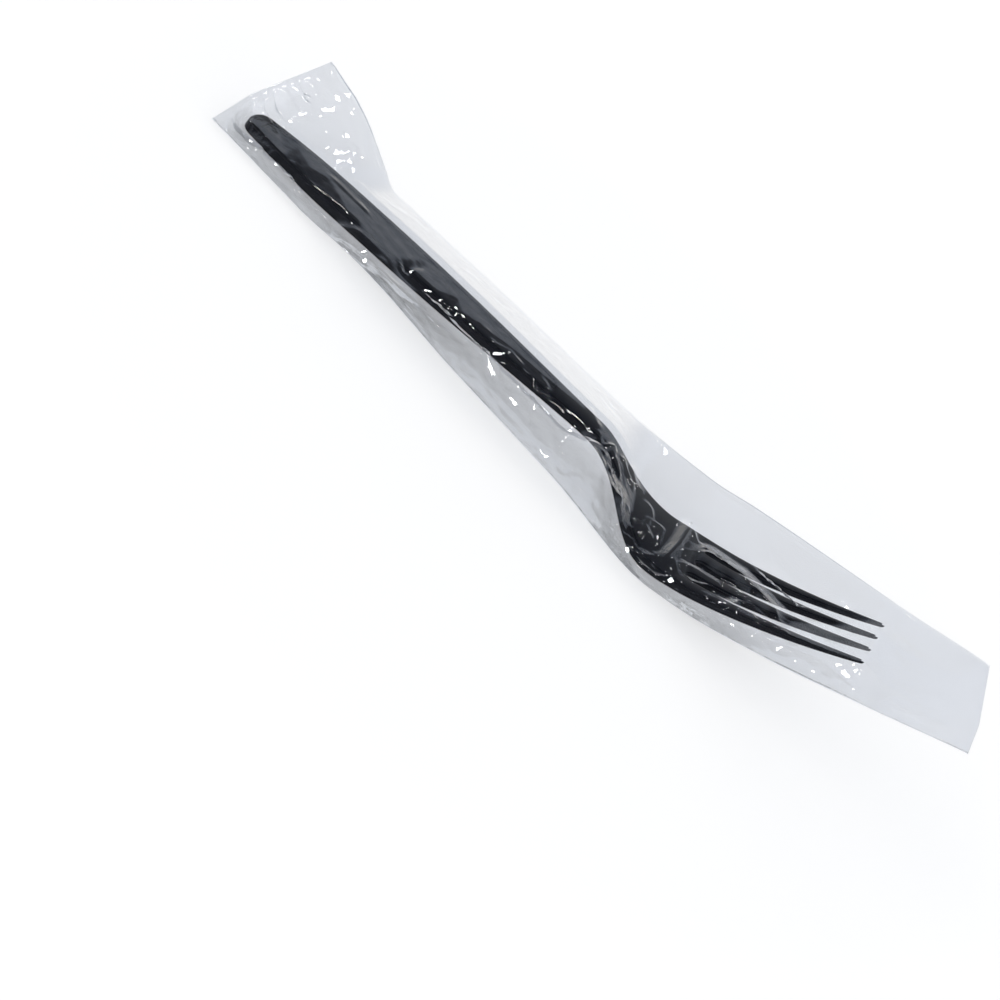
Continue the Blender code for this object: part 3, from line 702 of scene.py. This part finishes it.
# Small flat facets, in mm: place, radius, and how steeply each rises along the fork and to its far side
facets = [
    (9, -7.6, 0.7, 0.16, 0.58), (13.1, -6.9, 0.8, 0.17, 0.58), (15.4, -7.8, 0.7, 0.17, 0.58),
    (16.6, -8.8, 0.7, 0.17, 0.58), (19.6, -9.2, 0.7, 0.18, 0.58), (2, 12.8, 1.22, -0.18, 0.53),
    (5, 18.7, 1.49, -0.17, 0.54), (5.3, 21.4, 1.22, -0.17, 0.55), (8.9, 20.2, 1.62, -0.16, 0.54),
    (5.8, 14.2, 1.62, -0.17, 0.53), (6.9, 12.4, 1.22, -0.17, 0.53), (10.8, 9.2, 0.94, -0.16, 0.53),
    (23.5, 20, 0.68, -0.13, 0.54), (3.2, 16.2, 0.94, -0.17, 0.54), (7.6, 17.2, 0.81, -0.16, 0.54),
    (61.4, -13.8, 1, -0.05, 0.5), (63.9, -13.7, 1, -0.05, 0.5), (62.9, -9.3, 0.6, -0.05, 0.51),
    (89.4, -13.8, 0.8, 0.01, 0.5), (94, -14.3, 0.5, 0.02, 0.5), (121.9, -16, 1.3, 0.08, 0.5),
    (132.7, -14.7, 1.3, 0.11, 0.5), (135.9, -15.6, 0.6, 0.11, 0.5), (138.1, -14.8, 0.7, 0.12, 0.5),
    (140.3, -15.2, 0.6, 0.12, 0.5), (142.9, -14.2, 0.5, 0.13, 0.51), (139.2, -13.4, 0.4, 0.12, 0.51),
    (150.6, -12.5, 0.55, 0.49, 0.62), (154.2, -13.2, 0.55, 0.5, 0.62), (156.2, -12.7, 0.55, 0.51, 0.63),
    (159.8, -14.3, 0.8, 0.52, 0.63), (161.8, -17.1, 0.96, 0.52, 0.62), (163.2, -15.6, 0.64, 0.53, 0.63),
    (165.5, -17.5, 0.96, 0.53, 0.62), (167.1, -16, 0.8, 0.54, 0.63), (168.6, -13.8, 1.28, 0.55, 0.64),
    (169.8, -14.9, 1.12, 0.55, 0.63), (171, -15.1, 1.12, 0.55, 0.63), (171.5, -13.2, 1.28, 0.56, 0.64),
    (170.4, -12.2, 0.96, 0.55, 0.64), (172.9, 7.3, 0.55, -0.35, 0.41), (175, 8.1, 1, 0.21, 0.55),
    (176.6, 8.8, 1, 0.21, 0.55), (179, 8.2, 1, 0.21, 0.55), (180.8, 7.5, 1, 0.22, 0.55),
    (186.4, -13, 0.96, 0.23, 0.52), (184, -14.8, 0.8, 0.23, 0.52), (189.8, -13.4, 0.8, 0.24, 0.52),
    (157.6, -16.4, 1.17, 0.51, 0.62), (154.4, -16.5, 0.8, 0.5, 0.62), (133.6, -2.8, 0.5, 0.11, 0.52),
    (108.9, -6.2, 0.5, -0.5, 0.41), (104.4, -6.2, 0.5, 0.04, 0.52), (112.2, -10.2, 0.5, -0.49, 0.4),
    (121, -6.6, 0.4, 0.08, 0.51), (146.6, -6.6, 0.8, 0.14, 0.52),
]

# The same drawn out: from, to, radius and rise
streaks = [(72.4, -10.3, 76.6, -13, 0.9, -0.02, 0.51)]


def foldLine(points, x, side):
    table = np.array(points) * mm
    shift = throughPoints(list(zip(table[:, 0], table[:, 1])), x)
    height = throughPoints(list(zip(table[:, 0], table[:, 2])), x)
    return side * film["halfWidth"] + shift, height


def supportHalfWidth(x):
    # half the width of what the film lies on
    gap = film["clearance"]
    tipHalf = tineMiddle(fork["tineCount"] - 1, 1) + fork["tineWidth"] * film["tipHold"]
    share = clamp((x - fork["slots"]) / tineLength) ** fork["tinePoint"]
    body = forkHalfWidth(clamp(x, fork["endRound"], fork["slots"]))
    return np.where(x < fork["slots"], body, mix(headWidth / 2, tipHalf, share)) + gap


def freeShare(x):
    # 0 beside the fork and 1 at the welds, where the layers meet
    gap, weld = film["clearance"], film["weld"]
    atHandle = clamp((-gap - x) / (film["freeAtHandle"] - gap - weld))
    atTips = clamp((x - fork["length"] - gap) / (film["freeAtTips"] - gap - weld))
    return np.where(x < 0, atHandle, atTips)


def coverHeight(x):
    # the upper layer over the fork: clear of it, lofted over the handle and tented over the head
    alongHead = clamp((x - fork["crest"]) / (fork["length"] - fork["crest"]))
    tent = film["tent"] * np.sin(pi * alongHead) ** 2
    rise, fall = film["loftRamps"]
    loft = film["loft"] * ease(x / rise) * ease((film["loftEnd"] - x) / fall)
    return topHeight(x) + film["clearance"] + tent + loft


def nearFlank(x, outward, width, cover, fold):
    # from the fork's edge, outward 0, down the skirt to a knee, then out to the fold, outward 1
    kneeShare = film["kneeRun"] / width
    knee = np.minimum(mix(cover, fold, kneeShare), cover - film["kneeDrop"])
    knee = mix(knee, cover, throughPoints(film["level"], x / mm))
    hugging = mix(cover, knee, outward / kneeShare)
    return np.where(outward < kneeShare, hugging, mix(knee, fold, (outward - kneeShare) / (1 - kneeShare)))


def layerHeights(x, y, near, far):
    # heights of the upper and of the lower layer, between the two side folds
    share = clamp((y - near[0]) / (far[0] - near[0]))
    line = mix(near[1], far[1], share)
    slack = film["slack"] * hump(share)
    half = supportHalfWidth(x)
    beside, beyond = y < -half, y > half
    flank = -half - near[0]
    nearReach = (y - near[0]) / flank
    farReach = (far[0] - y) / (far[0] - half)
    reach = np.where(beside, nearReach, np.where(beyond, farReach, 1.0))
    edge = np.where(beside, near[1], np.where(beyond, far[1], line))
    cover = coverHeight(x)
    roof = mix(edge, cover, reach)
    roof = np.where(beside, nearFlank(x, 1 - nearReach, flank, cover, near[1]), roof)
    underside = topHeight(x) - skirtDepth(clamp(x, 0, fork["length"])) - fork["base"]
    floor = mix(edge, lowestFilm + np.maximum(0.0, underside - film["restSag"]), reach)
    clinging, slackFrom = film["hugUpTo"]
    lift = line + slack * np.where(beside, *film["slackLift"])
    lift = mix(roof, lift, ease((x - clinging) / (slackFrom - clinging)))
    upper = np.maximum(np.maximum(roof, lift), lowestFilm + film["thickness"] * film["layersApart"])
    lower = np.maximum(lowestFilm, np.minimum(floor, line - slack))
    # the handle's weld puckers both layers and gathers the upper one in fine ridges
    start, end = -film["freeAtHandle"] + film["weld"], fork["length"] + film["freeAtTips"] - film["weld"]
    wave = y / film["puckerSize"]
    ripple = np.sin(wave) * np.sin(wave / film["puckerBeat"] + 1)
    opening = ease((x - start) / film["openAtHandle"] / (1 + film["pucker"] * ripple))
    opening = opening * ease((end - x) / film["openAtTips"])
    gathered = clamp((x - start) / film["gatherRun"])
    ridges = film["gather"] * ripple * hump(gathered) * hump(share)
    puckered = film["pucker"] * ripple * np.where(x < 0, film["underPucker"], 0)
    loose = (1 - freeShare(x)) ** (1 + puckered)
    return mix(line, upper, opening) + ridges, mix(line, lower, loose)


def dentDepth(x, y):
    # pits with flat sides, each side sloping in from its own edge
    depth = np.zeros_like(x)
    for corners in dents:
        pit = np.full_like(x, 1.0)
        for (x0, y0, slope), (x1, y1, _) in zip(corners, corners[1:] + corners[:1]):
            inward = ((x1 - x0) * (y - y0 * mm) - (y1 - y0) * (x - x0 * mm)) / np.hypot(x1 - x0, y1 - y0)
            pit = np.minimum(pit, inward * slope)
        depth = np.maximum(depth, pit)
    return depth


def creaseRise(x, y):
    # roof-shaped ridges along the paths, highest in their middle
    rise = np.zeros_like(x)
    for path, leftWidth, rightWidth, height in creases:
        points = np.array(path) * mm
        runs = np.diff(points, axis=0)
        lengths = np.hypot(runs[:, 0], runs[:, 1])
        before = np.concatenate(([0.0], np.cumsum(lengths)))
        for start, run, length, sofar in zip(points, runs, lengths, before):
            offsetX, offsetY = x - start[0], y - start[1]
            t = clamp((offsetX * run[0] + offsetY * run[1]) / length**2)
            aside = np.hypot(offsetX - t * run[0], offsetY - t * run[1])
            cross = run[0] * offsetY - run[1] * offsetX
            width = np.where(cross > 0, leftWidth, rightWidth) * mm
            along = (sofar + t * length) / before[-1]
            taper = np.minimum(1.0, np.minimum(along, 1 - along) / film["creaseTaper"])
            rise = np.maximum(rise, height * mm * taper * (1 - aside / width))
    return rise


def buckleRise(x, y):
    # kite-shaped facets, up or down
    chance = np.random.default_rng(film["seed"])
    up, down = np.zeros_like(x), np.zeros_like(x)
    for x0, x1, y0, y1, count, long0, long1, high0, high1 in buckles:
        for _ in range(count):
            cx, cy = chance.uniform(x0, x1) * mm, chance.uniform(y0, y1) * mm
            turn = chance.uniform(0, pi)
            length = chance.uniform(long0, long1) * mm
            width = length * chance.uniform(*film["buckleWidth"])
            height = chance.uniform(high0, high1) * mm
            sunk = chance.random() < film["buckleSunk"]
            along = (x - cx) * cos(turn) + (y - cy) * sin(turn)
            across = (y - cy) * cos(turn) - (x - cx) * sin(turn)
            kite = height * (1 - np.abs(along) / length - np.abs(across) / width)
            if sunk:
                down = np.maximum(down, kite)
            else:
                up = np.maximum(up, kite)
    return up - down


def withFacets(x, y, z):
    # small flat places and streaks turned their own way, and how still they keep the crinkle
    still, tiny = np.zeros_like(x), 1e-12
    spots = [(placeX, placeY, placeX, placeY, *tilt) for placeX, placeY, *tilt in facets]
    for startX, startY, endX, endY, radius, riseX, riseY in spots + streaks:
        offsetX, offsetY = x - startX * mm, y - startY * mm
        runX, runY = (endX - startX) * mm, (endY - startY) * mm
        t = clamp((offsetX * runX + offsetY * runY) / max(runX**2 + runY**2, tiny))
        away = np.hypot(offsetX - t * runX, offsetY - t * runY) / (radius * mm)
        share = clamp((1 - away) / film["facetRim"])
        plane = riseX * offsetX + riseY * offsetY
        level = np.average(z - plane, weights=share + tiny)
        z = mix(z, level + plane, share)
        still = np.maximum(still, share)
    return z, still


def filmRows():
    # places along the sleeve, closer together at both welds and where the creases are
    start, end = -film["freeAtHandle"], fork["length"] + film["freeAtTips"]
    weldRows = film["weldRows"]
    rows = [start + film["weld"] * k / weldRows for k in range(weldRows)]
    for (place, step), (nextPlace, _) in zip(film["rowSteps"], film["rowSteps"][1:]):
        count = round((nextPlace - place) / step)
        rows += [(place + (nextPlace - place) * k / count) * mm for k in range(count)]
    rows += [end - film["weld"] * k / weldRows for k in range(weldRows, -1, -1)]
    return np.array(rows)


def acrossLayer(rows, shares):
    # a grid from the near fold, share 0, to the far one, share 1
    near, far = foldLine(film["nearFold"], rows, -1), foldLine(film["farFold"], rows, 1)
    near, far = [part[:, None] for part in near], [part[:, None] for part in far]
    x = np.repeat(rows[:, None], len(shares), axis=1)
    y = near[0] + (far[0] - near[0]) * shares[None, :]
    return x, y, near, far


def leaning(x, share):
    atHandle, atTips, start, run = film["lean"]
    lean = mix(atHandle, 0.0, ease((x + film["freeAtHandle"]) / run))
    lean = lean + mix(0.0, atTips, ease((x - fork["length"]) / film["freeAtTips"]))
    return x + lean * np.maximum(0.0, share - start)


def layerPoints(x, y, z, shares, side):
    # at the welds the layers lie face to face, side 1 on top of side -1
    gap = film["thickness"] * film["weldGap"] * freeShare(x)
    return np.stack((leaning(x, shares[None, :]), y, z + side * gap), axis=-1)


def upperLayer(rows):
    # its points, and how much each may crinkle
    split = film["nearPart"]
    shares = np.linspace(0, split, film["nearColumns"], endpoint=False)
    shares = np.concatenate((shares, np.linspace(split, 1, film["farColumns"])))
    x, y, near, far = acrossLayer(rows, shares)
    upper, lower = layerHeights(x, y, near, far)
    free = freeShare(x)
    inside = clamp(hump(shares) / film["fade"])[None, :] * (1 - free)
    calmFrom, calmOver = film["calmRun"]
    calm = mix(1.0, film["farCalm"], ease((shares - calmFrom) / calmOver))[None, :]
    raised = upper + (creaseRise(x, y) + buckleRise(x, y) - dentDepth(x, y)) * inside
    raised, still = withFacets(x, y, raised)
    gap = film["clearance"]
    overFork = (np.abs(y) < supportHalfWidth(x)) & (x > -gap) & (x < fork["length"] + gap)
    least = np.where(overFork, topHeight(x) + gap, lower + film["thickness"] * film["creasedApart"])
    raised = np.where(free < 1, np.maximum(raised, least), upper)
    return layerPoints(x, y, raised, shares, 1), inside * calm * (1 - still)


def lowerLayer(rows, shares):
    # the same; off the surface it buckles too, always away from the fork
    x, y, near, far = acrossLayer(rows, shares)
    _, lower = layerHeights(x, y, near, far)
    hanging = 1 - freeShare(x)
    standing = clamp((lower - lowestFilm) / film["standHeight"])
    standing = standing * clamp(hump(shares) / film["fade"])[None, :]
    lower = lower - np.abs(buckleRise(x, y)) * film["underBuckle"] * standing * hanging
    lower = np.maximum(lower, lowestFilm)
    loose = standing * film["underLoose"] * clamp(hanging / film["fade"])
    return layerPoints(x, y, lower, shares, -1), loose


def filmSheet():
    # middle surface of the sleeve: the lower layer's near half, the upper layer, then the far half
    rows = filmRows()
    count = film["underColumns"]
    parts = [
        lowerLayer(rows, np.linspace(0.5, 0, count, endpoint=False)),
        upperLayer(rows),
        lowerLayer(rows, np.linspace(1, 0.5, count + 1)[1:-1]),
    ]
    return [np.concatenate(layers, axis=1) for layers in zip(*parts)]


def sleeveObject(name, points, loose):
    # closed round its ring, open at both ends until it gets its wall
    rows, columns = points.shape[:2]
    data = bpy.data.meshes.new(name)
    flat = points.reshape(-1, 3) + np.array(toFrame)
    index = np.arange(rows * columns).reshape(rows, columns)
    after = np.roll(index, -1, axis=1)
    quads = np.stack((index[:-1], index[1:], after[1:], after[:-1]), axis=-1)
    data.from_pydata(flat.tolist(), [], quads.reshape(-1, 4).tolist())
    data.attributes.new("loose", "FLOAT", "POINT").data.foreach_set("value", loose.ravel())
    data.shade_smooth()
    piece = bpy.data.objects.new(name, data)
    bpy.context.scene.collection.objects.link(piece)
    lap = piece.vertex_groups.new(name="lap")
    under = (points[:, :, 2] < points[:, :, 2].mean(axis=1, keepdims=True)) & (loose == 0)
    inLap = under & (np.abs(points[:, :, 1]) < film["lap"] / 2)
    lap.add(np.flatnonzero(inLap.ravel()).tolist(), 1.0, "REPLACE")
    return piece


def emptyMaterial(name):
    material = bpy.data.materials.new(name)
    material.use_nodes = True
    material.node_tree.nodes.clear()
    return material, material.node_tree


def filmMaterial():
    # clear film: mostly see-through, mirrors more at flat angles, with a trace of milky haze
    material, tree = emptyMaterial("clearFilm")
    new, link = tree.nodes.new, tree.links.new
    clear = new("ShaderNodeBsdfTransparent")
    clear.inputs["Color"].default_value = film["tint"]
    milk = new("ShaderNodeBsdfDiffuse")
    milk.inputs["Color"].default_value = film["milk"]
    cloud = noise(tree, film["hazeScale"], film["hazeDetail"])
    haze = mapRange(tree, cloud, film["hazeClouds"], film["haze"])
    body = mixShader(tree, haze, clear.outputs[0], milk.outputs[0])
    ripple = noise(tree, film["rippleScale"], film["rippleDetail"])
    uneven = bump(tree, ripple, *film["rippleBump"])
    gloss = new("ShaderNodeBsdfAnisotropic")
    gloss.inputs["Color"].default_value = (1, 1, 1, 1)
    gloss.inputs["Roughness"].default_value = film["roughness"]
    link(uneven, gloss.inputs["Normal"])
    side = new("ShaderNodeNewGeometry")
    bend = mapRange(tree, side.outputs["Backfacing"], (0, 1), (film["ior"], 1 / film["ior"]))
    mirror = new("ShaderNodeFresnel")
    link(bend, mirror.inputs["IOR"])
    link(uneven, mirror.inputs["Normal"])
    surface = mixShader(tree, mirror.outputs[0], body, gloss.outputs[0])
    link(surface, new("ShaderNodeOutputMaterial").inputs["Surface"])
    return material


def crinkles(tree, scale):
    # flat-sided cells, turned out of line with the sleeve
    turn = tree.nodes.new("ShaderNodeVectorRotate")
    turn.rotation_type = "Z_AXIS"
    turn.inputs["Angle"].default_value = film["crinkleTurn"]
    place = tree.nodes.new("GeometryNodeInputPosition")
    tree.links.new(place.outputs[0], turn.inputs["Vector"])
    cells = tree.nodes.new("ShaderNodeTexVoronoi")
    cells.voronoi_dimensions = "2D"
    cells.distance = "MANHATTAN"
    tree.links.new(turn.outputs[0], cells.inputs["Vector"])
    tree.links.new(scale, cells.inputs["Scale"])
    return maths(tree, "SUBTRACT", cells.outputs["Distance"], 0.5)


def giveWall(piece, thickness):
    # one layer of film all over, two where the sheet's edges are lapped and sealed
    wall = piece.modifiers.new("wall", "SOLIDIFY")
    wall.thickness = 2 * thickness
    wall.offset = 0.0
    wall.vertex_group = "lap"
    wall.thickness_vertex_group = 0.5
    depsgraph = bpy.context.evaluated_depsgraph_get()
    plain = bpy.data.meshes.new_from_object(piece.evaluated_get(depsgraph))
    piece.modifiers.remove(wall)
    piece.data = plain
    plain.name = piece.name
    plain.shade_smooth()


def makeFilm():
    material = filmMaterial()
    points, loose = filmSheet()
    piece = sleeveObject("film_wrap", points, loose)
    piece.data.materials.append(material)
    sizes = {"Crinkle Size": film["crinkleSize"], "Crinkle Height": film["crinkle"]}
    tree = reliefTree("filmCrinkle", sizes, material, "loose", crinkles, direction=(0, 0, 1))
    runTree(piece, tree, {**sizes, "Surface": material})
    giveWall(piece, film["thickness"])
    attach(piece, "root")
    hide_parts("film_sleeve")
    print("film:", len(piece.data.polygons), "faces")


makeFilm()


# Floor, backdrop, light and camera

studio = dict(
    # lamps: place, size, power; fills only give light, glints only show as small reflections
    fills=dict(
        frontFill=((0.05, -0.75, 0.95), 1.2, 5.0),
        backFill=((0.08, 0.90, 0.70), 1.2, 4.0),
        leftFill=((-0.85, 0.0, 0.70), 1.0, 3.4),
        rightFill=((1.05, 0.0, 0.70), 1.0, 3.4),
    ),
    # in the fork's own frame
    glints=dict(
        leftGlint=((-0.45, 0.45, 0.60), 0.07, 0.5),
        rightGlint=((0.62, 0.35, 0.60), 0.07, 0.5),
        topGlint=((0.05, 0.12, 0.95), 0.07, 0.5),
        highGlint=((-0.35, 0.05, 0.80), 0.07, 0.5),
    ),
    # the room's colour by height: (sine of the elevation, colour)
    room=[
        (0.0, (1.12, 1.10, 1.07, 1)),
        (0.12, (0.95, 0.93, 0.91, 1)),
        (0.30, (0.50, 0.52, 0.56, 1)),
        (0.52, (0.35, 0.385, 0.455, 1)),
        (0.68, (0.018, 0.020, 0.026, 1)),
    ],
    floorSize=3.0,
    floorColor=(0.62, 0.62, 0.62, 1),
    floorLift=(0.52, 0.74),  # how far it is lifted towards white, by the object and far away
    floorFade=(0.12, 0.45),
    # the camera, placed in the fork's own frame, and where its right, down and ahead point
    cameraSensor=36,
    cameraLens=79.2,
    cameraNearest=0.01,
    cameraPlace=(100.96 * mm, -414.84 * mm, 224.46 * mm),
    cameraRight=(0.69044, 0.37249, 0.62012),
    cameraDown=(0.72332, -0.34336, -0.59909),
    cameraAhead=(-0.01024, 0.86218, -0.5065),
)


def makeFloor():
    mesh = bmesh.new()
    bmesh.ops.create_grid(mesh, x_segments=1, y_segments=1, size=studio["floorSize"])
    floor = meshObject("floor", mesh)
    material, tree = emptyMaterial("paleFloor")
    new, link = tree.nodes.new, tree.links.new
    matt = new("ShaderNodeBsdfDiffuse")
    matt.inputs["Color"].default_value = studio["floorColor"]
    # the lift shows to the camera and in reflections, and sheds no light
    seen = new("ShaderNodeLightPath")
    shown = maths(tree, "MAXIMUM", seen.outputs["Is Camera Ray"], seen.outputs["Is Glossy Ray"])
    away = new("ShaderNodeVectorMath")
    away.operation = "LENGTH"
    link(new("ShaderNodeTexCoord").outputs["Object"], away.inputs[0])
    lift = mapRange(tree, away.outputs["Value"], studio["floorFade"], studio["floorLift"])
    glow = new("ShaderNodeEmission")
    glow.inputs["Color"].default_value = (1, 1, 1, 1)
    link(maths(tree, "MULTIPLY", shown, lift), glow.inputs["Strength"])
    both = new("ShaderNodeAddShader")
    link(matt.outputs[0], both.inputs[0])
    link(glow.outputs[0], both.inputs[1])
    link(both.outputs[0], new("ShaderNodeOutputMaterial").inputs["Surface"])
    floor.data.materials.append(material)


def areaLight(name, place, size, power):
    lamp = bpy.data.lights.new(name, "AREA")
    lamp.shape = "SQUARE"
    lamp.size = size
    lamp.energy = power
    item = bpy.data.objects.new(name, lamp)
    bpy.context.scene.collection.objects.link(item)
    item.location = place
    item.rotation_euler = Vector(place).to_track_quat("Z", "Y").to_euler()
    return item


def makeWorld():
    # brighter towards the horizon and darker overhead, as in a studio with a pale sweep
    world = bpy.data.worlds.new("studio")
    bpy.context.scene.world = world
    world.use_nodes = True
    tree = world.node_tree
    tree.nodes.clear()
    new, link = tree.nodes.new, tree.links.new
    split = new("ShaderNodeSeparateXYZ")
    link(new("ShaderNodeTexCoord").outputs["Generated"], split.inputs[0])
    ramp = new("ShaderNodeValToRGB")
    stops = ramp.color_ramp.elements
    while len(stops) < len(studio["room"]):
        stops.new(0.5)
    for stop, (height, color) in zip(stops, studio["room"]):
        stop.position, stop.color = height, color
    link(split.outputs["Z"], ramp.inputs["Fac"])
    # the camera sees plain pale light behind the floor, everything else the room
    room, plain = new("ShaderNodeBackground"), new("ShaderNodeBackground")
    link(ramp.outputs["Color"], room.inputs["Color"])
    seen = new("ShaderNodeLightPath")
    light = mixShader(tree, seen.outputs["Is Camera Ray"], room.outputs[0], plain.outputs[0])
    link(light, new("ShaderNodeOutputWorld").inputs["Surface"])


def makeCamera():
    lens = bpy.data.cameras.new("camera")
    lens.sensor_width = studio["cameraSensor"]
    lens.lens = studio["cameraLens"]
    lens.clip_start = studio["cameraNearest"]
    camera = bpy.data.objects.new("camera", lens)
    bpy.context.scene.collection.objects.link(camera)
    right, down, ahead = [Vector(studio["camera" + way]) for way in ("Right", "Down", "Ahead")]
    place = Vector(studio["cameraPlace"]) + toFrame
    turn = Matrix((right, -down, -ahead)).transposed()
    camera.matrix_world = Matrix.Translation(place) @ turn.to_4x4()
    bpy.context.scene.camera = camera


makeFloor()
for name, (place, size, power) in studio["fills"].items():
    areaLight(name, place, size, power).visible_glossy = False
for name, (place, size, power) in studio["glints"].items():
    glint = areaLight(name, place, size, power)
    glint.visible_diffuse = False
    glint.location += toFrame
makeWorld()
makeCamera()
bpy.context.scene.view_settings.view_transform = "Standard"
print("floor, lights and camera are in place")
